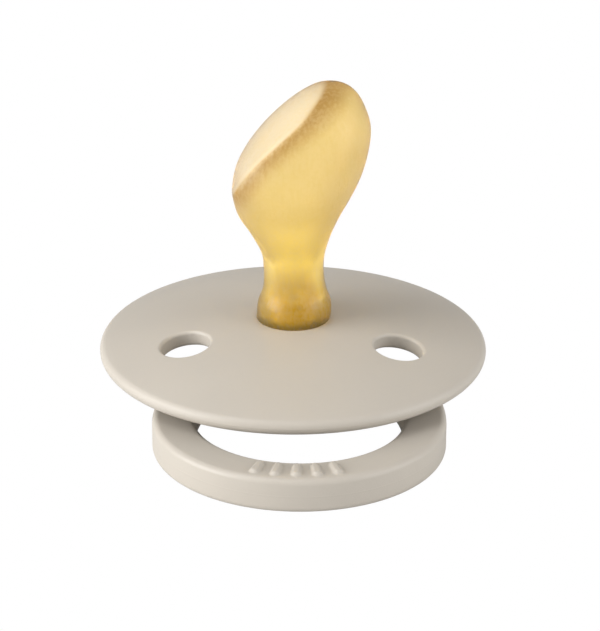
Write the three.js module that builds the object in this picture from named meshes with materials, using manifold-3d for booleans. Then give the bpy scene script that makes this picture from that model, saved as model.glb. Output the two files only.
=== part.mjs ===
// A baby's pacifier with an anatomical rubber teat, a round domed shield and a ring handle.
// Millimetres, +Z up. The origin is the centre of the rear knob's flat face: the object stands
// on that face and on the ring, with the teat pointing up. The ring lies towards -Y.

import * as THREE from 'three';
import { mergeVertices } from 'three/addons/utils/BufferGeometryUtils.js';
import Module from 'manifold-3d';

const wasm = await Module();
wasm.setup();

// ---- Driving dimensions -------------------------------------------------------------------

const SHIELD = {
  radius: 21.5,        // 43 mm across, too wide for a baby's mouth
  thickness: 1.8,
  apex: 10.2,          // height of the dome's front surface on the axis
  domeRadius: 75,      // the front surface is part of a sphere
};
const BOSS = {
  radius: 6.5,         // round boss behind the shield
  end: 3.75,           // height of its rear end
  edge: 0.4,           // rounding round its rear end
  fillet: 1,           // where it meets the back of the shield
  seatRadius: 5.1,     // counterbore for the teat's bead, the plug and the cap's spigot
  seatTop: 7.7,        // shoulder that the bead bears on
  boreRadius: 3.98,    // the teat's root passes through here
  boreLip: 0.12,       // rounding at the bore's front end
  snapZ: 4.35,         // height of the snap groove for the cap
  snapDepth: 0.15,
};
const VENT = {
  radius: 2.75,        // 5.5 mm throat
  lip: 0.38,           // rounded edge of the hole, both sides
  orbit: 12.85,        // from the shield's axis
  bearing: 25.5,       // degrees from the X axis towards the ring
};
const RING = {
  outer: 16,
  inner: 11.35,
  height: 3.9,
  corner: 0.7,
  reach: 12.6,         // pivot bar to the ring's centre
  play: 1.0,           // the ring has slid this far along its bar, towards +X
  gap: 7.6,            // half the space between its shoulders, where the boss sits
  swell: 2.2,          // the bar grows into the hoop over this length
  barEnd: 0.6,         // the straight bar's last section stands this far inside the gap
  bendSteps: 12,
  hoopSteps: 16,
};
const PIVOT = { z: 2.35, radius: 1.3, clearance: 0.1 };
const PIPS = { count: 5, pitch: 2.1, length: 2.8, width: 1.1, height: 0.38 };
const CAP = {
  radius: 6.5,
  edge: 0.9,           // rounding round the rear face
  top: 3.45,           // leaves a shut line under the boss
  topEdge: 0.3,
  spigotRadius: 4.95,
  spigotTop: 4.9,
  spigotEdge: 0.25,
  grooveRadius: 4.7,   // fine turned line in the rear face
  grooveDepth: 0.25,
};
const PLUG = {
  flangeBottom: 5.0,
  flangeTop: 6.05,
  flangeRadius: 4.9,
  flangeEdge: 0.25,
  stemRadius: 2.5,
  barbRadius: 2.75,
  barbZ: 10.6,
  barbLead: 0.9,       // length of the slope under the barb
  tip: 12.5,
  tipEdge: 0.7,
  airRadius: 0.6,      // air channel, so that the teat can flatten
};
const TEAT = {
  wall: 1.1,
  beadBottom: 6.15,
  beadTop: 7.6,
  beadRadius: 4.95,
  beadEdge: 0.5,
  rootRadius: 3.9,     // inside the shield's bore
  rootEdge: 0.3,
};

// The teat's outer form before its tongue side is flattened, from the root to the tip:
// [height, left edge, right edge, widest line, half width across Y]
const TEAT_SECTIONS = [
  [9.9, -3.9, 3.9, 0, 3.9],
  [10.15, -4.02, 4.08, 0, 4.03],
  [10.5, -4.03, 4.18, 0, 4.08],
  [11.0, -4.01, 4.22, 0, 4.1],
  [11.5, -3.97, 4.22, 0, 4.1],
  [12.3, -3.8, 4.1, 0, 3.95],
  [13.2, -3.45, 3.78, 0, 3.6],
  [14.4, -3.27, 3.5, 0, 3.4],
  [16.0, -3.3, 3.35, 0, 3.35],
  [17.9, -3.55, 3.5, 0, 3.55],
  [20.3, -4.75, 4.2, -0.1, 4.7],
  [22.6, -6.15, 5.2, 0, 5.5],
  [24.9, -6.8, 6.4, 0.2, 6.4],
  [27.3, -7.35, 7.45, 0.7, 6.75],
  [30.0, -6.6, 8.15, 1.6, 6.65],
  [32.6, -5.0, 8.35, 2.35, 6.3],
  [34.95, -3.0, 7.65, 3.0, 5.15],
  [36.55, -0.75, 6.7, 3.45, 3.3],
  [37.4, 1.5, 5.45, 3.7, 1.75],
  [37.7, 3.75, 3.75, 3.75, 0],
];
// The slanted tongue side is part of a wide cylinder across Y. Its middle is bowed: it is
// scooped below the height bowZ and full above it.
const FACET = { x: 15.35, z: 13.85, radius: 25.45, softness: 0.45, bow: 0.142, bowZ: 28, halfWidth: 6 };
// The bulb's tongue side has squarer level sections, of this superellipse power.
const SQUARED = { from: 20, full: 27, power: 2.7 };

const BULB_CENTRE_STEP = 14;   // the section row from which the inner wall shrinks as a dome
const SHIELD_STEPS = 60;
const SMALL_STEPS = 32;
const TEAT_STEPS = 40;

// ---- Colours ------------------------------------------------------------------------------

const sand = () => new THREE.MeshStandardMaterial({ color: 0xc9c2b4, roughness: 0.5, metalness: 0 });
const latex = () => new THREE.MeshStandardMaterial({ color: 0xe2a94f, roughness: 0.45, metalness: 0 });

// ---- Geometry helpers ---------------------------------------------------------------------

/** Points on an arc in a profile; angles in degrees, 0 is outwards and 90 is up. */
function arc(r, z, radius, from, to, steps) {
  return Array.from({ length: steps + 1 }, (_, i) => {
    const angle = THREE.MathUtils.degToRad(from + ((to - from) * i) / steps);
    return [r + radius * Math.cos(angle), z + radius * Math.sin(angle)];
  });
}

/** A solid of revolution about Z. The profile's outer wall runs upwards. */
function turned(profile, steps = SMALL_STEPS) {
  const points = profile.map(([r, z]) => new THREE.Vector2(r, z));
  return new THREE.LatheGeometry(points, steps).rotateX(Math.PI / 2);
}

/** A closed section that is turned as a ring. */
function turnedRing(profile, steps = SMALL_STEPS) {
  return turned([...profile, profile[0]], steps);
}

function toSolid(geometry) {
  const bare = geometry.clone();
  bare.deleteAttribute('normal');
  bare.deleteAttribute('uv');
  const merged = mergeVertices(bare, 1e-4);
  const mesh = new wasm.Mesh({
    numProp: 3,
    vertProperties: new Float32Array(merged.attributes.position.array),
    triVerts: new Uint32Array(merged.index.array),
  });
  return new wasm.Manifold(mesh);
}

function toGeometry(solid) {
  const mesh = solid.getMesh();
  const geometry = new THREE.BufferGeometry();
  geometry.setAttribute('position', new THREE.BufferAttribute(mesh.vertProperties, 3));
  geometry.setIndex(new THREE.BufferAttribute(mesh.triVerts, 1));
  geometry.computeVertexNormals();
  return geometry;
}

/** Skins rings of points in order: from a point to a point, or round to the first again. */
function skin(rings, closed = false) {
  const around = rings[0].length;
  const spans = closed ? rings.length : rings.length - 1;
  const faces = [];
  for (let i = 0; i < spans; i += 1) {
    const [here, next] = [i * around, ((i + 1) % rings.length) * around];
    for (let j = 0; j < around; j += 1) {
      const k = (j + 1) % around;
      faces.push([here + j, here + k, next + j], [here + k, next + k, next + j]);
    }
  }
  const positions = rings.flat().flatMap((p) => [p.x, p.y, p.z]);
  const open = new THREE.BufferGeometry();
  open.setAttribute('position', new THREE.Float32BufferAttribute(positions, 3));
  open.setIndex(faces.flat());
  const geometry = mergeVertices(open, 1e-4);
  const index = [...geometry.index.array];
  const whole = faces.map((_, i) => index.slice(3 * i, 3 * i + 3));
  geometry.setIndex(whole.filter(([a, b, c]) => a !== b && b !== c && c !== a).flat());
  geometry.computeVertexNormals();
  return geometry;
}

// ---- Shield -------------------------------------------------------------------------------

const domeZ = (r, inset = 0) =>
  SHIELD.apex - SHIELD.domeRadius + Math.sqrt((SHIELD.domeRadius - inset) ** 2 - r ** 2);

function shieldProfile() {
  const half = SHIELD.thickness / 2;
  const rimR = SHIELD.radius - half;
  const lean = THREE.MathUtils.radToDeg(Math.asin(rimR / SHIELD.domeRadius));
  const steps = 6;
  const bossRoot = BOSS.radius + BOSS.fillet;
  const under = [];
  const over = [];
  for (let i = 0; i <= steps; i += 1) {
    const t = i / steps;
    const rUnder = THREE.MathUtils.lerp(bossRoot, rimR - half / 3, t);
    under.push([rUnder, domeZ(rUnder, SHIELD.thickness)]);
    const rOver = THREE.MathUtils.lerp(rimR, BOSS.boreRadius + BOSS.boreLip, t);
    over.push([rOver, domeZ(rOver)]);
  }
  const fillet = arc(bossRoot, domeZ(bossRoot, SHIELD.thickness) - BOSS.fillet, BOSS.fillet, 180, 100, 3);
  const { seatRadius, snapZ, snapDepth } = BOSS;
  return [
    [seatRadius, BOSS.end],
    ...arc(BOSS.radius - BOSS.edge, BOSS.end + BOSS.edge, BOSS.edge, -90, 0, 2),
    ...fillet,
    ...under,
    ...arc(rimR, domeZ(rimR, half), half, -80, 90 - lean, 6),
    ...over.slice(1),
    [BOSS.boreRadius, domeZ(BOSS.boreRadius) - BOSS.boreLip],
    [BOSS.boreRadius, BOSS.seatTop],
    [seatRadius, BOSS.seatTop],
    [seatRadius, snapZ + 2 * snapDepth],
    [seatRadius + snapDepth, snapZ + 0.8 * snapDepth],
    [seatRadius + snapDepth, snapZ - 0.8 * snapDepth],
    [seatRadius, snapZ - 2 * snapDepth],
  ];
}

/** The tool that opens one vent: a round throat that flares at both faces of the shield. */
function ventCutter(side) {
  const half = SHIELD.thickness / 2;
  const flare = VENT.radius + VENT.lip;
  const past = 2; // the tool ends well clear of both faces
  const profile = [
    [0, -past],
    [flare, -past],
    ...arc(flare, -half + VENT.lip, VENT.lip, 270, 180, 3),
    ...arc(flare, half - VENT.lip, VENT.lip, 180, 90, 3),
    [flare, past],
    [0, past],
  ];
  const cutter = turned(profile);
  const bearing = THREE.MathUtils.degToRad(side > 0 ? -VENT.bearing : 180 + VENT.bearing);
  const lean = Math.asin(VENT.orbit / SHIELD.domeRadius);
  cutter.rotateY(lean);
  cutter.translate(VENT.orbit, 0, domeZ(VENT.orbit, half));
  return cutter.rotateZ(bearing);
}

function shieldGeometry() {
  let solid = toSolid(turnedRing(shieldProfile(), SHIELD_STEPS));
  for (const side of [-1, 1]) solid = solid.subtract(toSolid(ventCutter(side)));
  return toGeometry(solid);
}

// ---- Ring handle --------------------------------------------------------------------------

/** A rounded rectangle around (0, 0), as [across, up] pairs. */
function roundedSection(width, height, corner, steps = 3) {
  const [x, y] = [width / 2 - corner, height / 2 - corner];
  return [
    ...arc(x, y, corner, 0, 90, steps),
    ...arc(-x, y, corner, 90, 180, steps),
    ...arc(-x, -y, corner, 180, 270, steps),
    ...arc(x, -y, corner, 270, 360, steps),
  ];
}

/** Half of the handle's centre line from its bar to its front, as points and bearings. */
function handleStations() {
  const middle = (RING.inner + RING.outer) / 2;
  const stations = [{ x: RING.gap - RING.barEnd, y: 0, bearing: 90 }];
  const bend = middle - RING.gap;
  for (let i = 0; i <= RING.bendSteps; i += 1) {
    const angle = (Math.PI / 2) * (1 - i / RING.bendSteps);
    const x = RING.gap + bend * Math.cos(angle);
    const y = RING.reach * (Math.sin(angle) - 1);
    const bearing = THREE.MathUtils.radToDeg(Math.atan2(bend * Math.sin(angle), RING.reach * Math.cos(angle)));
    stations.push({ x, y, bearing });
  }
  for (let i = 1; i <= RING.hoopSteps; i += 1) {
    const angle = (-Math.PI / 2) * (i / RING.hoopSteps);
    const [x, y] = [middle * Math.cos(angle), middle * Math.sin(angle) - RING.reach];
    stations.push({ x, y, bearing: THREE.MathUtils.radToDeg(angle) });
  }
  return stations;
}

/** The handle's section at one station: a slim round bar that swells into a flat-sided hoop. */
function handleRing({ x, y, bearing }) {
  const grown = THREE.MathUtils.smoothstep(Math.abs(x), RING.gap, RING.gap + RING.swell);
  const full = y < -RING.swell ? 1 : grown;
  const bar = 2 * PIVOT.radius;
  const width = THREE.MathUtils.lerp(bar, RING.outer - RING.inner, full);
  const height = THREE.MathUtils.lerp(bar, RING.height, full);
  const corner = THREE.MathUtils.lerp(0.96 * PIVOT.radius, RING.corner, full);
  const middleZ = THREE.MathUtils.lerp(PIVOT.z, RING.height / 2, full);
  const angle = THREE.MathUtils.degToRad(bearing);
  return roundedSection(width, height, corner).map(([across, up]) => new THREE.Vector3(
    x + across * Math.cos(angle),
    y + across * Math.sin(angle),
    middleZ + up,
  ));
}

function handleHoop() {
  const right = handleStations();
  const left = right.slice(0, -1).reverse().map(({ x, y, bearing }) => (
    { x: -x, y, bearing: 180 - bearing }
  ));
  return skin([...right, ...left].map(handleRing), true);
}

/** One raised grip bar on the ring's upper face, lying along the ring's radius. */
function pip(index) {
  const middle = (RING.inner + RING.outer) / 2;
  const bearing = ((index - (PIPS.count - 1) / 2) * PIPS.pitch) / middle;
  const bar = new THREE.CapsuleGeometry(PIPS.width / 2, PIPS.length - PIPS.width, 3, 8);
  bar.scale(1, 1, (2 * PIPS.height) / PIPS.width);
  bar.translate(0, -middle, RING.height).rotateZ(bearing).translate(0, -RING.reach, 0);
  return toSolid(bar);
}

function ringGeometry() {
  let solid = toSolid(handleHoop());
  for (let i = 0; i < PIPS.count; i += 1) solid = solid.add(pip(i));
  return toGeometry(solid);
}

// ---- Knob cap -----------------------------------------------------------------------------

/** The rear button. Its spigot snaps into the boss, and its open groove cradles the pivot bar. */
function capGeometry() {
  const { grooveRadius, grooveDepth, spigotRadius, spigotTop, spigotEdge, topEdge } = CAP;
  const { snapZ, snapDepth } = BOSS;
  const snap = spigotRadius + snapDepth;
  const profile = [
    [0, 0],
    [grooveRadius - grooveDepth, 0],
    [grooveRadius, grooveDepth],
    [grooveRadius + grooveDepth, 0],
    ...arc(CAP.radius - CAP.edge, CAP.edge, CAP.edge, -90, 0, 5),
    ...arc(CAP.radius - topEdge, CAP.top - topEdge, topEdge, 0, 90, 2),
    [spigotRadius, CAP.top],
    [spigotRadius, snapZ - 5 * snapDepth / 3],
    [snap, snapZ - snapDepth / 3],
    [snap, snapZ + snapDepth / 3],
    [spigotRadius, snapZ + 5 * snapDepth / 3],
    [spigotRadius, spigotTop - spigotEdge],
    [spigotRadius - spigotEdge, spigotTop],
    [0, spigotTop],
  ];
  const width = 2 * (PIVOT.radius + PIVOT.clearance);
  const cradle = new THREE.CylinderGeometry(width / 2, width / 2, 3 * CAP.radius, 32);
  cradle.rotateZ(Math.PI / 2).translate(0, 0, PIVOT.z);
  const mouth = new THREE.BoxGeometry(3 * CAP.radius, width, 5).translate(0, 0, PIVOT.z + 2.5);
  return toGeometry(toSolid(turned(profile)).subtract(toSolid(cradle)).subtract(toSolid(mouth)));
}

// ---- Plug ---------------------------------------------------------------------------------

/** The bung inside the teat's root: its flange clamps the bead and its barb holds the rubber. */
function plugGeometry() {
  const { flangeBottom, flangeTop, flangeRadius, flangeEdge } = PLUG;
  const { stemRadius, barbRadius, barbZ, barbLead, tip, tipEdge, airRadius } = PLUG;
  const profile = [
    [airRadius, flangeBottom],
    [flangeRadius - flangeEdge, flangeBottom],
    [flangeRadius, flangeBottom + flangeEdge],
    [flangeRadius, flangeTop - flangeEdge],
    [flangeRadius - flangeEdge, flangeTop],
    [stemRadius + flangeEdge / 2, flangeTop],
    [stemRadius, flangeTop + flangeEdge],
    [stemRadius, barbZ - barbLead],
    [barbRadius, barbZ],
    [barbRadius, barbZ + barbLead / 4],
    [stemRadius, barbZ + barbLead],
    ...arc(stemRadius - tipEdge, tip - tipEdge, tipEdge, 0, 90, 4),
    [airRadius, tip],
  ];
  return turnedRing(profile);
}

// ---- Teat ---------------------------------------------------------------------------------

/** A point on the smooth curve through the section rows, which runs on over the tip. */
function sectionAt(step) {
  const rows = TEAT_SECTIONS;
  const last = rows.length - 1;
  const [height, left, right, , halfWidth] = rows[last - 1];
  const tip = rows[last][3];
  const beyond = [height, 2 * tip - left, 2 * tip - right, tip, -halfWidth];
  const row = (i) => (i > last ? beyond : rows[Math.max(i, 0)]);
  const i = Math.min(Math.floor(step), last - 1);
  const t = step - i;
  return row(i).map((_, k) => {
    const [a, b, c, d] = [row(i - 1)[k], row(i)[k], row(i + 1)[k], row(i + 2)[k]];
    return b + 0.5 * t * (c - a + t * (2 * a - 5 * b + 4 * c - d + t * (3 * (b - c) + d - a)));
  });
}

/** Presses a point onto the slanted tongue side, with a narrow soft ridge along its border. */
function pressOntoFacet(p) {
  const dx = p.x - FACET.x;
  const dz = p.z - FACET.z;
  const reach = Math.hypot(dx, dz);
  const middle = 1 - Math.min((p.y / FACET.halfWidth) ** 2, 1.3);
  const over = reach - FACET.radius - FACET.bow * (p.z - FACET.bowZ) * middle;
  const push = 0.5 * (over + Math.sqrt(over * over + FACET.softness ** 2)) / reach;
  p.x -= dx * push;
  p.z -= dz * push;
  return p;
}

/** One ring of the teat's outer skin, in a level section that is egg-shaped across X. */
function outerRing(step) {
  const [z, left, right, widest, halfWidth] = sectionAt(step);
  const squared = THREE.MathUtils.smoothstep(z, SQUARED.from, SQUARED.full);
  const power = 2 / THREE.MathUtils.lerp(2, SQUARED.power, squared);
  const bent = (v) => Math.sign(v) * Math.abs(v) ** power;
  return Array.from({ length: TEAT_STEPS }, (_, j) => {
    const angle = (2 * Math.PI * j) / TEAT_STEPS;
    const [c, s] = [Math.cos(angle), Math.sin(angle)];
    const p = c > 0
      ? new THREE.Vector3(widest + (right - widest) * c, halfWidth * s, z)
      : new THREE.Vector3(widest + (widest - left) * bent(c), halfWidth * bent(s), z);
    return pressOntoFacet(p);
  });
}

/** Moves an outer ring in by the wall: sideways in the neck, towards the bulb's middle above. */
function innerRing(step) {
  const ring = outerRing(step);
  const pivotStep = Math.min(step, BULB_CENTRE_STEP);
  const [pivotZ, left, right, widest, halfWidth] = sectionAt(pivotStep);
  const tipZ = TEAT_SECTIONS.at(-1)[0];
  const scale = new THREE.Vector3(
    1 - (2 * TEAT.wall) / (right - left),
    1 - TEAT.wall / halfWidth,
    1 - TEAT.wall / (tipZ - pivotZ),
  );
  const centre = new THREE.Vector3(step > BULB_CENTRE_STEP ? widest : (left + right) / 2, 0, pivotZ);
  return ring.map((p) => p.sub(centre).multiply(scale).add(centre));
}

function roundRing(radius, z) {
  return Array.from({ length: TEAT_STEPS }, (_, j) => {
    const angle = (2 * Math.PI * j) / TEAT_STEPS;
    return new THREE.Vector3(radius * Math.cos(angle), radius * Math.sin(angle), z);
  });
}

function teatGeometry() {
  const lastStep = TEAT_SECTIONS.length - 1;
  const outerSteps = 36;
  const innerSteps = 18;
  const rings = [];
  for (let i = 0; i <= innerSteps; i += 1) rings.push(innerRing(lastStep * (1 - i / innerSteps)));
  const lumen = TEAT.rootRadius - TEAT.wall;
  const { beadBottom: low, beadTop: high, beadRadius: wide, beadEdge, rootEdge } = TEAT;
  const bead = [
    [lumen, low + rootEdge],
    [lumen + rootEdge, low],
    ...arc(wide - beadEdge, low + beadEdge, beadEdge, -90, 0, 3),
    ...arc(wide - beadEdge, high - beadEdge, beadEdge, 0, 90, 3),
    [TEAT.rootRadius, high],
  ];
  rings.push(...bead.map(([r, z]) => roundRing(r, z)));
  for (let i = 0; i <= outerSteps; i += 1) rings.push(outerRing((lastStep * i) / outerSteps));
  return skin(rings);
}

// ---- Assembly -----------------------------------------------------------------------------

function piece(name, geometry, material) {
  const mesh = new THREE.Mesh(geometry, material);
  mesh.name = name;
  return mesh;
}

const pacifier = new THREE.Group();
pacifier.name = 'pacifier';
pacifier.add(
  piece('shield', shieldGeometry(), sand()),
  piece('teat', teatGeometry(), latex()),
  piece('plug', plugGeometry(), sand()),
  piece('knob_cap', capGeometry(), sand()),
);

const ring = piece('ring_handle', ringGeometry(), sand());
ring.position.x = RING.play;
pacifier.add(ring);

export default pacifier;
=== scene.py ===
"""A baby's pacifier in its resting pose: satin plastic shield, knob and ring, amber latex teat."""
from math import asin, atan2, cos, degrees, hypot, pi, radians, sin, sqrt

import bmesh
import bpy
from mathutils import Matrix, Vector


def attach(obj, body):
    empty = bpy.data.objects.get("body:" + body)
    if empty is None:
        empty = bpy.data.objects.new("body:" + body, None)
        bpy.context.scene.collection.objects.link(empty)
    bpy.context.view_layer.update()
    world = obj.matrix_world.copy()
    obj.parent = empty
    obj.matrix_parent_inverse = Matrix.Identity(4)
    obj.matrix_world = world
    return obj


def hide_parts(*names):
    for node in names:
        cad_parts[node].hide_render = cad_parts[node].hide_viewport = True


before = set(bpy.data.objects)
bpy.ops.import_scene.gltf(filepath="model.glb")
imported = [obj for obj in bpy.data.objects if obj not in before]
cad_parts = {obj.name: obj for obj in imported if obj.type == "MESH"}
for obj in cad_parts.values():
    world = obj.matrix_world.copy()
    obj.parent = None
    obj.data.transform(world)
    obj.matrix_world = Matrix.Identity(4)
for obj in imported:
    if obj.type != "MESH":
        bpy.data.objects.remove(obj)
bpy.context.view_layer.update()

MM = 0.001

# ---- Sizes, in millimetres, as in the CAD model ---------------------------------------------

SHIELD_RADIUS, SHIELD_THICKNESS = 21.5, 1.8
DOME_APEX, DOME_RADIUS = 10.2, 75.0
BOSS_RADIUS, BOSS_END, BOSS_EDGE, BOSS_FILLET = 6.5, 3.75, 0.4, 1.0
SEAT_RADIUS, SEAT_TOP, BORE_RADIUS, BORE_LIP = 5.1, 7.7, 3.98, 0.12
VENT_RADIUS, VENT_LIP, VENT_ORBIT, VENT_BEARING = 2.75, 0.38, 12.85, 25.5

RING_OUTER, RING_INNER, RING_HEIGHT, RING_CORNER = 16.0, 11.35, 3.9, 0.7
RING_REACH, RING_PLAY, RING_GAP, RING_SWELL = 12.6, 1.0, 7.6, 2.2
PIVOT_Z, PIVOT_RADIUS, PIVOT_CLEARANCE = 2.35, 1.3, 0.1
PIP_COUNT, PIP_PITCH, PIP_LENGTH, PIP_WIDTH, PIP_HEIGHT = 5, 2.1, 2.8, 1.1, 0.38

CAP_RADIUS, CAP_EDGE, CAP_TOP, CAP_TOP_EDGE = 6.5, 0.9, 3.45, 0.3
CAP_GROOVE, GROOVE_DEPTH, GROOVE_LIP, GROOVE_FLOOR, GROOVE_MOUTH = 4.7, 0.22, 0.06, 0.12, 0.32
SPIGOT_RADIUS, SPIGOT_TOP, SPIGOT_EDGE, CAP_SOFTENING = 4.95, 4.9, 0.25, 0.15

FLANGE_RADIUS, FLANGE_BOTTOM, FLANGE_TOP = 4.9, 5.0, 6.05
STEM_RADIUS, BARB_RADIUS, BARB_Z, STEM_TIP, AIR_RADIUS = 2.5, 2.75, 10.6, 12.5, 0.6

TEAT_WALL, ROOT_RADIUS = 1.1, 3.9
BEAD_RADIUS, BEAD_BOTTOM, BEAD_TOP, BEAD_EDGE, BEAD_MOUTH, BEAD_FILLET = 4.95, 6.15, 7.6, 0.5, 0.3, 0.2

# The teat before its tongue side is flattened, from the root to the tip:
# (height, left edge, right edge, widest line, half width across Y)
TEAT_SECTIONS = (
    (9.9, -3.9, 3.9, 0.0, 3.9),
    (10.15, -4.02, 4.08, 0.0, 4.03),
    (10.5, -4.03, 4.18, 0.0, 4.08),
    (11.0, -4.01, 4.22, 0.0, 4.1),
    (11.5, -3.97, 4.22, 0.0, 4.1),
    (12.3, -3.8, 4.1, 0.0, 3.95),
    (13.2, -3.45, 3.78, 0.0, 3.6),
    (14.4, -3.27, 3.5, 0.0, 3.4),
    (16.0, -3.3, 3.35, 0.0, 3.35),
    (17.9, -3.55, 3.5, 0.0, 3.55),
    (20.3, -4.75, 4.2, -0.1, 4.7),
    (22.6, -6.15, 5.2, 0.0, 5.5),
    (24.9, -6.8, 6.4, 0.2, 6.4),
    (27.3, -7.35, 7.45, 0.7, 6.75),
    (30.0, -6.6, 8.15, 1.6, 6.65),
    (32.6, -5.0, 8.35, 2.35, 6.3),
    (34.95, -3.0, 7.65, 3.0, 5.15),
    (36.55, -0.75, 6.7, 3.45, 3.3),
    (37.4, 1.5, 5.45, 3.7, 1.75),
    (37.7, 3.75, 3.75, 3.75, 0.0),
)
# The slanted tongue side: part of a wide cylinder across Y, scooped low down and full above
FACET_X, FACET_Z, FACET_RADIUS, FACET_SOFTNESS = 15.35, 13.85, 25.45, 0.45
FACET_BOW, FACET_BOW_Z, FACET_HALF_WIDTH = 0.142, 28.0, 6.0
SQUARE_FROM, SQUARE_FULL, SQUARE_POWER = 20.0, 27.0, 2.7
BULB_ROW = 14  # the row from which the inner wall shrinks as a dome

# ---- Mesh tools ----------------------------------------------------------------------------


def piece(name, bm, body, replaced):
    """Turns a bmesh in millimetres into a smooth piece of the object, in metres."""
    bmesh.ops.scale(bm, vec=(MM, MM, MM), verts=bm.verts[:])
    mesh = bpy.data.meshes.new(name)
    bm.to_mesh(mesh)
    bm.free()
    mesh.shade_smooth()
    obj = bpy.data.objects.new(name, mesh)
    bpy.context.scene.collection.objects.link(obj)
    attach(obj, body)
    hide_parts(replaced)
    return obj


def arc(r, z, radius, start, end, steps):
    """Points on an arc in a profile; angles in degrees, 0 is outwards and 90 is up."""
    turns = [radians(start + (end - start) * i / steps) for i in range(steps + 1)]
    return [(r + radius * cos(a), z + radius * sin(a)) for a in turns]


def lerp(a, b, t):
    return a + (b - a) * t


def smoothstep(low, high, x):
    t = min(max((x - low) / (high - low), 0.0), 1.0)
    return t * t * (3 - 2 * t)


def turned(profile, steps, closed):
    """Spins a profile of (radius, height) points round Z into a solid."""
    bm = bmesh.new()
    verts = [bm.verts.new((r, 0, z)) for r, z in profile]
    pairs = list(zip(verts, verts[1:]))
    if closed:
        pairs.append((verts[-1], verts[0]))
    edges = [bm.edges.new(pair) for pair in pairs]
    bmesh.ops.spin(
        bm, geom=verts + edges, cent=(0, 0, 0), axis=(0, 0, 1),
        angle=2 * pi, steps=steps, use_merge=True,
    )
    bmesh.ops.remove_doubles(bm, verts=bm.verts[:], dist=1e-4)
    bmesh.ops.recalc_face_normals(bm, faces=bm.faces[:])
    return bm


def lofted(rings, closed, depths=None):
    """Extrudes a loop of points from ring to ring; it closes to a point or to its start."""
    bm = bmesh.new()
    place = bm.verts.layers.int.new("place")
    depth = bm.verts.layers.float.new("facet_depth") if depths else None
    loop = bmesh.ops.create_circle(bm, segments=len(rings[0]), radius=1)["verts"]
    for i, vert in enumerate(loop):
        vert[place] = i
        vert.co = rings[0][i]
        if depths:
            vert[depth] = depths[0][i]
    first = edges = bm.edges[:]
    for row, ring in enumerate(rings[1:], start=1):
        grown = bmesh.ops.extrude_edge_only(bm, edges=edges)["geom"]
        edges = [e for e in grown if isinstance(e, bmesh.types.BMEdge)]
        for vert in (v for v in grown if isinstance(v, bmesh.types.BMVert)):
            vert.co = ring[vert[place]]
            if depths:
                vert[depth] = depths[row][vert[place]]
    if closed:
        bmesh.ops.bridge_loops(bm, edges=list(first) + edges)
    bmesh.ops.remove_doubles(bm, verts=bm.verts[:], dist=1e-4)
    bmesh.ops.recalc_face_normals(bm, faces=bm.faces[:])
    return bm


# ---- Shield --------------------------------------------------------------------------------

SHIELD_TURNS = 180
DOME_ROWS = 30


def dome_z(r, inset=0.0):
    """Height of the dome's front surface, or of a surface set that far under it."""
    return DOME_APEX - DOME_RADIUS + sqrt((DOME_RADIUS - inset) ** 2 - r * r)


def shield_profile():
    half = SHIELD_THICKNESS / 2
    rim = SHIELD_RADIUS - half
    lean = degrees(asin(rim / DOME_RADIUS))
    root = BOSS_RADIUS + BOSS_FILLET
    plate = [lerp(root, rim, i / DOME_ROWS) for i in range(DOME_ROWS + 1)]
    under = [(r, dome_z(r, SHIELD_THICKNESS)) for r in plate[:-1]]
    over = [(r, dome_z(r)) for r in reversed(plate)]
    crown = [lerp(root, BORE_RADIUS + BORE_LIP, i / 6) for i in range(1, 7)]
    return [
        (SEAT_RADIUS, BOSS_END),
        *arc(BOSS_RADIUS - BOSS_EDGE, BOSS_END + BOSS_EDGE, BOSS_EDGE, -90, 0, 6),
        *arc(root, dome_z(root, SHIELD_THICKNESS) - BOSS_FILLET, BOSS_FILLET, 180, 96, 8),
        *under,
        *arc(rim, dome_z(rim, half), half, -90 - lean, 90 - lean, 20),
        *over[1:],
        *[(r, dome_z(r)) for r in crown],
        *arc(BORE_RADIUS + BORE_LIP, dome_z(BORE_RADIUS) - BORE_LIP - 0.01, BORE_LIP, 100, 180, 5),
        (BORE_RADIUS, SEAT_TOP),
        (SEAT_RADIUS, SEAT_TOP),
    ]


def loop_edges(bm, verts):
    chosen = set(verts)
    return [e for e in bm.edges if e.is_boundary and e.verts[0] in chosen and e.verts[1] in chosen]


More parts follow.
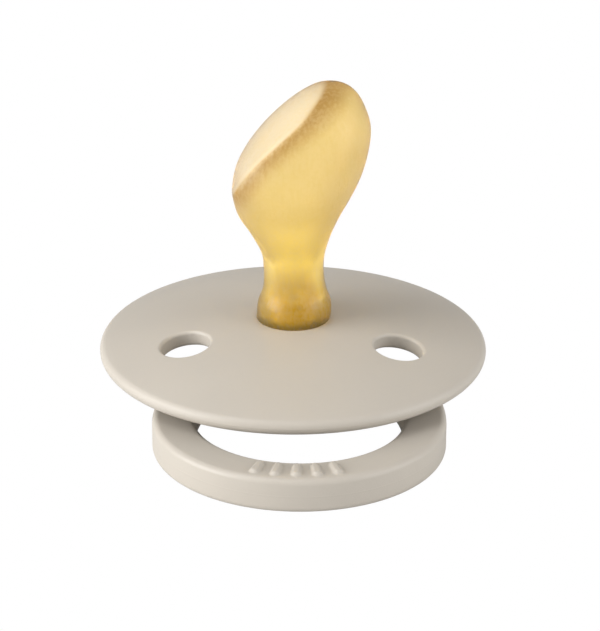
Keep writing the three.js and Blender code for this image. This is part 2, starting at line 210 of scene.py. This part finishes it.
def open_vent(bm, side):
    """Cuts one round vent through both faces of the plate and rounds its two lips."""
    bearing = radians(-VENT_BEARING if side > 0 else 180 + VENT_BEARING)
    lean = asin(VENT_ORBIT / DOME_RADIUS)
    frame_of_vent = Matrix.Rotation(bearing, 4, "Z") @ Matrix.Translation(
        (VENT_ORBIT, 0, dome_z(VENT_ORBIT, SHIELD_THICKNESS / 2))
    ) @ Matrix.Rotation(lean, 4, "Y")
    into = frame_of_vent.inverted()
    cleared = VENT_RADIUS + VENT_LIP + 0.75
    near = [v for v in bm.verts if hypot(*(into @ v.co).xy) < cleared]
    bmesh.ops.delete(bm, geom=near, context="VERTS")
    half = SHIELD_THICKNESS / 2
    middles = []
    for face in (1, -1):
        rim = [
            v for v in bm.verts
            if v.is_boundary and hypot(*(into @ v.co).xy) < cleared + 1.5
            and (into @ v.co).z * face > 0
        ]
        edges = loop_edges(bm, rim)
        lip = [(VENT_RADIUS + VENT_LIP + 0.3, half)]
        lip += [
            (VENT_RADIUS + VENT_LIP * (1 - sin(a)), half - VENT_LIP * (1 - cos(a)))
            for a in (radians(90 * i / 7) for i in range(8))
        ]
        lip.append((VENT_RADIUS, 0.15))
        for radius, height in lip:
            grown = bmesh.ops.extrude_edge_only(bm, edges=edges)["geom"]
            edges = [e for e in grown if isinstance(e, bmesh.types.BMEdge)]
            ring = [v for v in grown if isinstance(v, bmesh.types.BMVert)]
            ring.sort(key=lambda v: atan2((into @ v.co).y, (into @ v.co).x))
            for i, vert in enumerate(ring):
                turn = 2 * pi * (i + 0.5) / len(ring) - pi
                sag = radius * radius / (2 * DOME_RADIUS)
                spot = (radius * cos(turn), radius * sin(turn), face * height - sag)
                vert.co = frame_of_vent @ Vector(spot)
        middles += edges
    bmesh.ops.bridge_loops(bm, edges=middles)


def build_shield():
    bm = turned(shield_profile(), SHIELD_TURNS, closed=True)
    for side in (1, -1):
        open_vent(bm, side)
    bmesh.ops.recalc_face_normals(bm, faces=bm.faces[:])
    return piece("shield_moulding", bm, "shield_body", "shield")


# ---- Ring handle ---------------------------------------------------------------------------


def handle_path():
    """(x, y, bearing of the outward side) along the handle's right half, bar to front."""
    middle = (RING_INNER + RING_OUTER) / 2
    path = [(RING_GAP * i / 6, 0.0, 90.0) for i in range(6)]
    bend = middle - RING_GAP
    for i in range(41):
        a = pi / 2 * (1 - i / 40)
        bearing = degrees(atan2(bend * sin(a), RING_REACH * cos(a)))
        path.append((RING_GAP + bend * cos(a), RING_REACH * (sin(a) - 1), bearing))
    fine = degrees(6 / middle)
    turns = [-(90 - fine) * i / 36 for i in range(1, 37)]
    turns += [-(90 - fine) - fine * i / 60 for i in range(1, 61)]
    for turn in turns:
        a = radians(turn)
        path.append((middle * cos(a), middle * sin(a) - RING_REACH, turn))
    return path


def rounded_section(width, height, corner, flat_steps=24, corner_steps=8):
    """A rounded rectangle as (across, up) points, with fine steps along its upper side."""
    x, y = width / 2 - corner, height / 2 - corner
    points = arc(x, y, corner, 0, 90, corner_steps)
    points += [(lerp(x, -x, i / flat_steps), y + corner) for i in range(1, flat_steps)]
    points += arc(-x, y, corner, 90, 180, corner_steps)
    points += arc(-x, -y, corner, 180, 270, corner_steps)
    points += arc(x, -y, corner, 270, 360, corner_steps)
    return points


def pip_height(x, y):
    """How far the raised grip bars lift the ring's upper face at a point."""
    middle = (RING_INNER + RING_OUTER) / 2
    along = atan2(x, -(y + RING_REACH)) * middle
    across = hypot(x, y + RING_REACH) - middle
    nearest = round(along / PIP_PITCH)
    if abs(nearest) > (PIP_COUNT - 1) / 2:
        return 0.0
    half = (PIP_LENGTH - PIP_WIDTH) / 2
    away = hypot(along - nearest * PIP_PITCH, max(abs(across) - half, 0.0))
    return PIP_HEIGHT * (1 - smoothstep(PIP_WIDTH * 0.2, PIP_WIDTH * 0.58, away))


def handle_ring(x, y, bearing):
    grown = smoothstep(RING_GAP, RING_GAP + RING_SWELL, abs(x))
    full = 1.0 if y < -RING_SWELL else grown
    bar = 2 * PIVOT_RADIUS
    width = lerp(bar, RING_OUTER - RING_INNER, full)
    height = lerp(bar, RING_HEIGHT, full)
    corner = lerp(PIVOT_RADIUS - 0.02, RING_CORNER, full)
    middle_z = lerp(PIVOT_Z, RING_HEIGHT / 2, full)
    a = radians(bearing)
    points = []
    for across, up in rounded_section(width, height, corner):
        px, py = x + across * cos(a), y + across * sin(a)
        lift = pip_height(px, py) if up > height / 2 - 0.1 else 0.0
        points.append(Vector((px + RING_PLAY, py, middle_z + up + lift)))
    return points


def build_ring():
    right = handle_path()
    left = [(-x, y, 180 - bearing) for x, y, bearing in reversed(right[1:-1])]
    bm = lofted([handle_ring(*station) for station in right + left], closed=True)
    return piece("ring_moulding", bm, "ring", "ring_handle")


# ---- Knob cap and plug ---------------------------------------------------------------------


def cut(obj, tool_bm):
    """Cuts a tool, in millimetres, out of a piece."""
    bmesh.ops.scale(tool_bm, vec=(MM, MM, MM), verts=tool_bm.verts[:])
    mesh = bpy.data.meshes.new("tool")
    tool_bm.to_mesh(mesh)
    tool_bm.free()
    tool = bpy.data.objects.new("tool", mesh)
    bpy.context.scene.collection.objects.link(tool)
    change = obj.modifiers.new("cut", "BOOLEAN")
    change.operation = "DIFFERENCE"
    change.solver = "EXACT"
    change.object = tool
    graph = bpy.context.evaluated_depsgraph_get()
    obj.data = bpy.data.meshes.new_from_object(obj.evaluated_get(graph))
    obj.modifiers.clear()
    bpy.data.objects.remove(tool)


def cap_profile():
    g = CAP_GROOVE
    return [
        (0, 0),
        *arc(g - GROOVE_MOUTH, GROOVE_LIP, GROOVE_LIP, -90, 0, 3),
        (g - GROOVE_FLOOR, GROOVE_DEPTH),
        (g + GROOVE_FLOOR, GROOVE_DEPTH),
        *arc(g + GROOVE_MOUTH, GROOVE_LIP, GROOVE_LIP, 180, 270, 3),
        *arc(CAP_RADIUS - CAP_EDGE, CAP_EDGE, CAP_EDGE, -90, 0, 12),
        *arc(CAP_RADIUS - CAP_TOP_EDGE, CAP_TOP - CAP_TOP_EDGE, CAP_TOP_EDGE, 0, 90, 5),
        (SPIGOT_RADIUS, CAP_TOP),
        *arc(SPIGOT_RADIUS - SPIGOT_EDGE, SPIGOT_TOP - SPIGOT_EDGE, SPIGOT_EDGE, 0, 90, 4),
        (0, SPIGOT_TOP),
    ]


def build_cap():
    bm = turned(cap_profile(), 128, closed=False)
    cap = piece("knob_moulding", bm, "shield_body", "knob_cap")
    reach = PIVOT_RADIUS + PIVOT_CLEARANCE
    channel = [(-CAP_RADIUS - 1, y, z + PIVOT_Z) for y, z in arc(0, 0, reach, 180, 360, 24)]
    channel += [(-CAP_RADIUS - 1, reach, 6.0), (-CAP_RADIUS - 1, -reach, 6.0)]
    tool = bmesh.new()
    face = tool.faces.new([tool.verts.new(p) for p in channel])
    grown = bmesh.ops.extrude_face_region(tool, geom=[face])["geom"]
    far = [v for v in grown if isinstance(v, bmesh.types.BMVert)]
    bmesh.ops.translate(tool, vec=(2 * CAP_RADIUS + 2, 0, 0), verts=far)
    bmesh.ops.recalc_face_normals(tool, faces=tool.faces[:])
    cut(cap, tool)
    edge = cap.modifiers.new("edge", "BEVEL")
    edge.width = CAP_SOFTENING * MM
    edge.segments = 3
    edge.limit_method = "ANGLE"
    edge.angle_limit = radians(50)
    return cap


def plug_profile():
    return [
        (AIR_RADIUS, FLANGE_BOTTOM),
        *arc(FLANGE_RADIUS - 0.25, FLANGE_BOTTOM + 0.25, 0.25, -90, 0, 4),
        *arc(FLANGE_RADIUS - 0.2, FLANGE_TOP - 0.2, 0.2, 0, 90, 4),
        (STEM_RADIUS + 0.15, FLANGE_TOP),
        (STEM_RADIUS, FLANGE_TOP + 0.2),
        (STEM_RADIUS, BARB_Z - 0.9),
        *arc(BARB_RADIUS - 0.15, BARB_Z, 0.15, -30, 60, 4),
        *arc(STEM_RADIUS - 0.7, STEM_TIP - 0.7, 0.7, 0, 90, 8),
        *arc(AIR_RADIUS + 0.15, STEM_TIP - 0.15, 0.15, 90, 180, 3),
    ]


def build_plug():
    bm = turned(plug_profile(), 96, closed=True)
    return piece("plug_moulding", bm, "shield_body", "plug")


# ---- Teat ----------------------------------------------------------------------------------

TEAT_AROUND = 144
ROWS_PER_SECTION = 8
LAST_ROW = len(TEAT_SECTIONS) - 1


def section_at(step):
    """A point on the smooth curve through the section rows, which runs on over the tip."""
    height, left, right, _, half_width = TEAT_SECTIONS[-2]
    tip = TEAT_SECTIONS[-1][3]
    beyond = (height, 2 * tip - left, 2 * tip - right, tip, -half_width)

    def row(i):
        return beyond if i > LAST_ROW else TEAT_SECTIONS[max(i, 0)]

    i = min(int(step), LAST_ROW - 1)
    t = step - i
    return [
        b + 0.5 * t * (c - a + t * (2 * a - 5 * b + 4 * c - d + t * (3 * (b - c) + d - a)))
        for a, b, c, d in zip(row(i - 1), row(i), row(i + 1), row(i + 2))
    ]


def over_facet(p):
    """How far a point stands over the slanted tongue side's own surface."""
    middle = 1 - min((p.y / FACET_HALF_WIDTH) ** 2, 1.3)
    reach = hypot(p.x - FACET_X, p.z - FACET_Z)
    return reach - FACET_RADIUS - FACET_BOW * (p.z - FACET_BOW_Z) * middle


def press_onto_facet(p):
    """Presses a point onto the slanted tongue side, with a narrow soft ridge along its border."""
    over = over_facet(p)
    push = 0.5 * (over + sqrt(over * over + FACET_SOFTNESS ** 2))
    away = Vector((p.x - FACET_X, 0, p.z - FACET_Z)).normalized()
    return p - away * push


def bent(value, power):
    return (1 if value > 0 else -1) * abs(value) ** power


def outer_ring(step):
    z, left, right, widest, half_width = section_at(step)
    power = 2 / lerp(2, SQUARE_POWER, smoothstep(SQUARE_FROM, SQUARE_FULL, z))
    points = []
    for j in range(TEAT_AROUND):
        c, s = cos(2 * pi * j / TEAT_AROUND), sin(2 * pi * j / TEAT_AROUND)
        if c > 0:
            p = Vector((widest + (right - widest) * c, half_width * s, z))
        else:
            x = widest + (widest - left) * bent(c, power)
            p = Vector((x, half_width * bent(s, power), z))
        points.append(press_onto_facet(p))
    return points


def inner_ring(step):
    """The outer ring moved in by the wall: sideways in the neck, as a dome in the bulb."""
    pivot_z, left, right, widest, half_width = section_at(min(step, BULB_ROW))
    tip_z = TEAT_SECTIONS[-1][0]
    centre = Vector((widest if step > BULB_ROW else (left + right) / 2, 0, pivot_z))
    scale = (
        1 - 2 * TEAT_WALL / (right - left),
        1 - TEAT_WALL / half_width,
        1 - TEAT_WALL / (tip_z - pivot_z),
    )
    return [
        Vector([c + (v - c) * s for v, c, s in zip(p, centre, scale)])
        for p in outer_ring(step)
    ]


def round_ring(radius, z):
    turns = [2 * pi * j / TEAT_AROUND for j in range(TEAT_AROUND)]
    return [Vector((radius * cos(a), radius * sin(a), z)) for a in turns]


def build_teat():
    steps = [i / ROWS_PER_SECTION for i in range(LAST_ROW * ROWS_PER_SECTION + 1)]
    lumen = ROOT_RADIUS - TEAT_WALL
    bead = [
        *arc(lumen + BEAD_MOUTH, BEAD_BOTTOM + BEAD_MOUTH, BEAD_MOUTH, 180, 270, 4),
        *arc(BEAD_RADIUS - BEAD_EDGE, BEAD_BOTTOM + BEAD_EDGE, BEAD_EDGE, -90, 0, 6),
        *arc(BEAD_RADIUS - BEAD_EDGE, BEAD_TOP - BEAD_EDGE, BEAD_EDGE, 0, 90, 6),
        *arc(ROOT_RADIUS + BEAD_FILLET, BEAD_TOP + BEAD_FILLET, BEAD_FILLET, 270, 180, 4),
    ]
    outer = [outer_ring(step) for step in steps]
    middle = [round_ring(r, z) for r, z in bead]
    rings = [inner_ring(step) for step in reversed(steps)] + middle + outer
    twins = list(reversed(outer)) + middle + outer
    depths = [[-over_facet(p) for p in ring] for ring in twins]
    bm = lofted(rings, closed=False, depths=depths)
    return piece("teat_latex", bm, "teat", "teat")


# ---- Materials -----------------------------------------------------------------------------


def node_group(name, inputs, outputs):
    """Starts a shader node group; inputs and outputs are (name, socket type, default)."""
    group = bpy.data.node_groups.new(name, "ShaderNodeTree")
    for direction, sockets in (("INPUT", inputs), ("OUTPUT", outputs)):
        for label, kind, value in sockets:
            socket = group.interface.new_socket(label, in_out=direction, socket_type=kind)
            if value is not None:
                socket.default_value = value
    return group, group.nodes.new("NodeGroupInput").outputs, group.nodes.new("NodeGroupOutput").inputs


def add_node(tree, kind, links=(), **settings):
    """Adds a node, sets its options and links or fills its inputs, given as (socket, value)."""
    node = tree.nodes.new(kind)
    for key, value in settings.items():
        setattr(node, key, value)
    for socket, value in links:
        if isinstance(value, bpy.types.NodeSocket):
            tree.links.new(value, node.inputs[socket])
        else:
            node.inputs[socket].default_value = value
    return node


def noise(tree, coords, size, detail=2.0):
    """Soft noise from 0 to 1 whose lumps are about size millimetres across."""
    return add_node(
        tree, "ShaderNodeTexNoise",
        [("Vector", coords), ("Scale", 1 / (size * MM)), ("Detail", detail)],
    ).outputs["Fac"]


def between(tree, value, low, high, start, end):
    """Maps a value from low..high to start..end, smoothly, and clamps it."""
    return add_node(
        tree, "ShaderNodeMapRange",
        [("Value", value), ("From Min", low), ("From Max", high), ("To Min", start), ("To Max", end)],
        interpolation_type="SMOOTHSTEP",
    ).outputs["Result"]


def maths(tree, operation, *values):
    return add_node(
        tree, "ShaderNodeMath", list(enumerate(values)), operation=operation,
    ).outputs["Value"]


def blend(tree, factor, first, second, mode="MIX"):
    """Mixes two colours by a factor that is linked or given."""
    return add_node(
        tree, "ShaderNodeMix", [(0, factor), (6, first), (7, second)],
        data_type="RGBA", blend_type=mode,
    ).outputs[2]


def make_moulded_grain():
    """Fine spark-eroded grain of a moulding tool, with slow changes of tint and gloss."""
    group, given, put = node_group(
        "moulded_grain",
        [
            ("Coordinates", "NodeSocketVector", None),
            ("Base", "NodeSocketColor", (0.5, 0.5, 0.5, 1)),
            ("Mottle", "NodeSocketFloat", 0.03),
            ("Gloss Low", "NodeSocketFloat", 0.35),
            ("Gloss High", "NodeSocketFloat", 0.5),
        ],
        [
            ("Color", "NodeSocketColor", None),
            ("Roughness", "NodeSocketFloat", None),
            ("Height", "NodeSocketFloat", None),
        ],
    )
    cloud = noise(group, given["Coordinates"], 9.0)
    speck = noise(group, given["Coordinates"], 0.35, 3.0)
    grain = noise(group, given["Coordinates"], 0.16, 1.0)
    darker = maths(group, "SUBTRACT", 1.0, given["Mottle"])
    mottle = maths(
        group, "ADD",
        maths(group, "MULTIPLY", cloud, 0.7),
        maths(group, "MULTIPLY", speck, 0.3),
    )
    level = add_node(
        group, "ShaderNodeMapRange",
        [("Value", mottle), ("From Min", 0.3), ("From Max", 0.7),
         ("To Min", darker), ("To Max", 1.0)],
    ).outputs["Result"]
    tint = add_node(group, "ShaderNodeVectorMath", [(0, given["Base"]), ("Scale", level)], operation="SCALE")
    group.links.new(tint.outputs["Vector"], put["Color"])
    gloss = add_node(
        group, "ShaderNodeMapRange",
        [("Value", cloud), ("From Min", 0.3), ("From Max", 0.7),
         ("To Min", given["Gloss Low"]), ("To Max", given["Gloss High"])],
    ).outputs["Result"]
    group.links.new(gloss, put["Roughness"])
    group.links.new(maths(group, "ADD", maths(group, "MULTIPLY", speck, 0.6), grain), put["Height"])
    return group


def make_parting_line():
    """A hair-fine raised line where two halves of a mould met, at one height on the outer edge."""
    group, given, put = node_group(
        "parting_line",
        [
            ("Coordinates", "NodeSocketVector", None),
            ("Height Of Line", "NodeSocketFloat", 0.002),
            ("Half Width", "NodeSocketFloat", 0.00006),
        ],
        [("Height", "NodeSocketFloat", None)],
    )
    z = add_node(group, "ShaderNodeSeparateXYZ", [(0, given["Coordinates"])]).outputs["Z"]
    away = maths(group, "ABSOLUTE", maths(group, "SUBTRACT", z, given["Height Of Line"]))
    close = maths(group, "DIVIDE", away, given["Half Width"])
    group.links.new(between(group, close, 0.4, 1.6, 1.0, 0.0), put["Height"])
    return group


def new_material(name):
    material = bpy.data.materials.new(name)
    material.use_nodes = True
    tree = material.node_tree
    tree.nodes.clear()
    output = tree.nodes.new("ShaderNodeOutputMaterial")
    shader = tree.nodes.new("ShaderNodeBsdfPrincipled")
    tree.links.new(shader.outputs["BSDF"], output.inputs["Surface"])
    return material, tree, shader


def use_group(tree, group, links):
    node = tree.nodes.new("ShaderNodeGroup")
    node.node_tree = group
    for socket, value in links:
        if isinstance(value, bpy.types.NodeSocket):
            tree.links.new(value, node.inputs[socket])
        else:
            node.inputs[socket].default_value = value
    return node.outputs


def object_coordinates(tree):
    return add_node(tree, "ShaderNodeTexCoord").outputs["Object"]


def sand_plastic(name, base, gloss, grain_depth, line_z=None):
    """Satin polypropylene: gloss is its (lowest, highest) roughness, line_z its parting line."""
    material, tree, shader = new_material(name)
    coords = object_coordinates(tree)
    grain = use_group(
        tree, moulded_grain,
        [("Coordinates", coords), ("Base", base), ("Mottle", 0.035),
         ("Gloss Low", gloss[0]), ("Gloss High", gloss[1])],
    )
    tree.links.new(grain["Color"], shader.inputs["Base Color"])
    tree.links.new(grain["Roughness"], shader.inputs["Roughness"])
    bump = add_node(
        tree, "ShaderNodeBump",
        [("Strength", 1.0), ("Distance", grain_depth * MM), ("Height", grain["Height"])],
    ).outputs["Normal"]
    if line_z is not None:
        line = use_group(tree, parting_line, [("Coordinates", coords), ("Height Of Line", line_z * MM)])
        bump = add_node(
            tree, "ShaderNodeBump",
            [("Strength", 1.0), ("Distance", 0.008 * MM), ("Height", line["Height"]), ("Normal", bump)],
        ).outputs["Normal"]
    tree.links.new(bump, shader.inputs["Normal"])
    shader.inputs["Specular IOR Level"].default_value = 0.4
    return material


LATEX_BODY, LATEX_NECK = (0.82, 0.73, 0.46, 1), (1.0, 0.88, 0.40, 1)
# The root's darker olive is painted shade: the plug inside holding back the light through the latex
LATEX_ROOT_SHADE, LATEX_CLOUD = (0.78, 0.58, 0.08, 1), (0.92, 0.84, 0.66, 1)
# The slanted side's near white is a painted highlight; the band beside its ridge is partly thicker rubber,
# partly painted shade
LATEX_FACET_HIGHLIGHT, LATEX_RIDGE_TINT_AND_SHADE = (1.0, 0.98, 1.0, 1), (0.50, 0.335, 0.12, 1)
LATEX_NECK_GLOSS, LATEX_BULB_GLOSS = 0.31, 0.42
LATEX_REFRACTION, LATEX_SHEEN, LATEX_CLARITY, LATEX_GRAIN_DEPTH = 1.4, 0.2, 0.87, 0.02
LATEX_ABSORPTION, LATEX_DENSITY = (0.985, 0.78, 0.03, 1), 210.0
# Heights, in metres, between which the root, neck and bulb blend into one another
ROOT_TO_NECK, NECK_TO_BULB, BULB_START = (0.0125, 0.0165), (0.018, 0.026), (0.022, 0.026)
# Depths under the slanted side's surface, in millimetres: its painted highlight, and the band beside it,
# partly thicker rubber and partly painted shade
FACET_HIGHLIGHT_DEPTHS, RIDGE_TINT_AND_SHADE_DEPTHS = (0.12, 0.4), (0.3, 2.6)


def amber_latex():
    """Clear natural rubber: amber, clouded by fine grain, with a painted highlight on the slanted tongue
    side, a band beside its ridge that is partly thicker rubber and partly painted shade, and painted shade
    at the root over the plug.
    """
    material, tree, shader = new_material("amber_latex")
    coords = object_coordinates(tree)
    z = add_node(tree, "ShaderNodeSeparateXYZ", [(0, coords)]).outputs["Z"]
    depth = add_node(tree, "ShaderNodeAttribute", attribute_name="facet_depth").outputs["Fac"]
    cloud = noise(tree, coords, 4.0, 3.0)
    speck = noise(tree, coords, 0.4, 4.0)
    drawn = add_node(tree, "ShaderNodeMapping", [("Vector", coords), ("Scale", (1.0, 1.0, 0.16))])
    streak = noise(tree, drawn.outputs["Vector"], 0.3, 3.0)
    high = between(tree, z, *BULB_START, 0.0, 1.0)
    facet_highlight = maths(tree, "MULTIPLY", between(tree, depth, *FACET_HIGHLIGHT_DEPTHS, 1.0, 0.0), high)
    ridge_tint_and_shade = maths(tree, "MULTIPLY", between(tree, depth, *RIDGE_TINT_AND_SHADE_DEPTHS, 1.0, 0.0), high)
    # Painted shade: darker olive at the root, where the plug inside holds back light
    colour = blend(tree, between(tree, z, *ROOT_TO_NECK, 0.0, 1.0), LATEX_ROOT_SHADE, LATEX_NECK)
    colour = blend(tree, between(tree, z, *NECK_TO_BULB, 0.0, 1.0), colour, LATEX_BODY)
    # Darker brown band beside the ridge: partly the thicker rubber there, partly painted shade where the
    # surface turns from the light
    colour = blend(tree, ridge_tint_and_shade, colour, LATEX_RIDGE_TINT_AND_SHADE)
    # Painted highlight: the slanted tongue side turned near white where it faces the upper-left lamp
    colour = blend(tree, facet_highlight, colour, LATEX_FACET_HIGHLIGHT)
    bloom = maths(tree, "ADD", maths(tree, "MULTIPLY", cloud, 0.35), maths(tree, "MULTIPLY", speck, 0.35))
    bloom = maths(tree, "ADD", bloom, maths(tree, "MULTIPLY", streak, 0.3))
    colour = blend(tree, between(tree, bloom, 0.4, 0.62, 0.0, 0.45), colour, LATEX_CLOUD)
    tree.links.new(colour, shader.inputs["Base Color"])
    matt = between(tree, z, 0.015, 0.026, LATEX_NECK_GLOSS, LATEX_BULB_GLOSS)
    matt = maths(tree, "ADD", matt, between(tree, cloud, 0.3, 0.7, -0.02, 0.03))
    tree.links.new(matt, shader.inputs["Roughness"])
    grain = maths(tree, "ADD", noise(tree, coords, 0.22, 2.0), maths(tree, "ADD", speck, streak))
    bump = add_node(
        tree, "ShaderNodeBump",
        [("Strength", 1.0), ("Distance", LATEX_GRAIN_DEPTH * MM), ("Height", grain)],
    ).outputs["Normal"]
    tree.links.new(bump, shader.inputs["Normal"])
    shader.inputs["IOR"].default_value = LATEX_REFRACTION
    shader.inputs["Specular IOR Level"].default_value = LATEX_SHEEN
    shader.inputs["Transmission Weight"].default_value = LATEX_CLARITY
    absorption = add_node(
        tree, "ShaderNodeVolumeAbsorption",
        [("Color", LATEX_ABSORPTION), ("Density", LATEX_DENSITY)],
    )
    tree.links.new(absorption.outputs["Volume"], tree.nodes["Material Output"].inputs["Volume"])
    return material


# ---- Stage ---------------------------------------------------------------------------------

CAMERA_TARGET = Vector((0, 0, 6.38))
CAMERA_DISTANCE, CAMERA_ELEVATION, CAMERA_AZIMUTH = 400.0, 23.87, 1.16
CAMERA_ROLL, CAMERA_RIGHT, CAMERA_UP, LENS = 0.296, 0.764, 3.437, 204.5


def add_camera():
    data = bpy.data.cameras.new("camera")
    data.lens = LENS
    data.clip_start = 0.01
    camera = bpy.data.objects.new("camera", data)
    bpy.context.scene.collection.objects.link(camera)
    turn = (
        Matrix.Rotation(radians(CAMERA_AZIMUTH), 4, "Z")
        @ Matrix.Rotation(radians(90 - CAMERA_ELEVATION), 4, "X")
    )
    offset = turn @ Vector((CAMERA_RIGHT, CAMERA_UP, CAMERA_DISTANCE))
    place = Matrix.Translation((CAMERA_TARGET + offset) * MM)
    camera.matrix_world = place @ turn @ Matrix.Rotation(radians(CAMERA_ROLL), 4, "Z")
    bpy.context.scene.camera = camera


STAGE_WHITE, BACKLIGHT = 1.0, 1.5
SKY_LEVEL, FLOOR_ALBEDO = 0.39, 0.68
MIDDLE = (0, 0, 0.015)
# Softboxes: (name, where it stands, size, power)
SOFTBOXES = (
    ("high_left", (-0.34, -0.22, 0.69), 0.4, 1.45),
    ("left", (-0.75, -0.25, 0.2), 0.8, 9.6),
    ("right", (0.75, -0.2, 0.25), 0.8, 4.9),
)


def add_softbox(name, spot, size, power):
    data = bpy.data.lights.new(name, "AREA")
    data.shape = "DISK"
    data.size = size
    data.energy = power
    light = bpy.data.objects.new(name, data)
    light.location = spot
    light.rotation_euler = (Vector(MIDDLE) - Vector(spot)).to_track_quat("-Z", "Y").to_euler()
    bpy.context.scene.collection.objects.link(light)


def stage_level(tree, ambient):
    """Plain white to the camera, half as bright again through the latex, dimmer as a light."""
    path = tree.nodes.new("ShaderNodeLightPath").outputs
    level = add_node(
        tree, "ShaderNodeMapRange",
        [("Value", path["Is Camera Ray"]), ("To Min", ambient), ("To Max", STAGE_WHITE)],
    ).outputs["Result"]
    through = maths(tree, "MULTIPLY", path["Is Transmission Ray"], BACKLIGHT)
    return maths(tree, "MAXIMUM", level, through)


def add_stage():
    """A pale floor and studio walls that look plain white and light the object more gently."""
    bm = bmesh.new()
    bmesh.ops.create_grid(bm, x_segments=1, y_segments=1, size=3.0)
    mesh = bpy.data.meshes.new("floor")
    bm.to_mesh(mesh)
    bm.free()
    floor = bpy.data.objects.new("floor", mesh)
    bpy.context.scene.collection.objects.link(floor)
    material, tree, shader = new_material("white_floor")
    shader.inputs["Base Color"].default_value = (FLOOR_ALBEDO, FLOOR_ALBEDO, FLOOR_ALBEDO, 1)
    shader.inputs["Roughness"].default_value = 0.9
    level = stage_level(tree, 0.0)
    glow = add_node(tree, "ShaderNodeEmission", [("Strength", level)])
    seen = maths(tree, "MINIMUM", level, 1.0)
    mixed = add_node(
        tree, "ShaderNodeMixShader",
        [(0, seen), (1, shader.outputs["BSDF"]), (2, glow.outputs["Emission"])],
    )
    tree.links.new(mixed.outputs["Shader"], tree.nodes["Material Output"].inputs["Surface"])
    mesh.materials.append(material)
    world = bpy.data.worlds.new("studio")
    world.use_nodes = True
    tree = world.node_tree
    tree.links.new(stage_level(tree, SKY_LEVEL), tree.nodes["Background"].inputs["Strength"])
    tree.nodes["Background"].inputs["Color"].default_value = (1, 1, 1, 1)
    bpy.context.scene.world = world
    for softbox in SOFTBOXES:
        add_softbox(*softbox)


# ---- Assembly ------------------------------------------------------------------------------

SAND = (0.525, 0.48, 0.417, 1)
PALE_PLUG = (0.60, 0.57, 0.50, 1)

moulded_grain = make_moulded_grain()
parting_line = make_parting_line()
FINISHES = (
    (build_shield(), sand_plastic("shield_polypropylene", SAND, (0.36, 0.46), 0.006, 6.38)),
    (build_ring(), sand_plastic("ring_polypropylene", SAND, (0.34, 0.44), 0.006, 1.95)),
    (build_cap(), sand_plastic("knob_polypropylene", SAND, (0.38, 0.5), 0.009)),
    (build_plug(), sand_plastic("plug_polypropylene", PALE_PLUG, (0.25, 0.35), 0.003)),
    (build_teat(), amber_latex()),
)
for moulding, finish in FINISHES:
    moulding.data.materials.clear()
    moulding.data.materials.append(finish)

add_camera()
add_stage()
scene = bpy.context.scene
scene.view_settings.view_transform = "Standard"
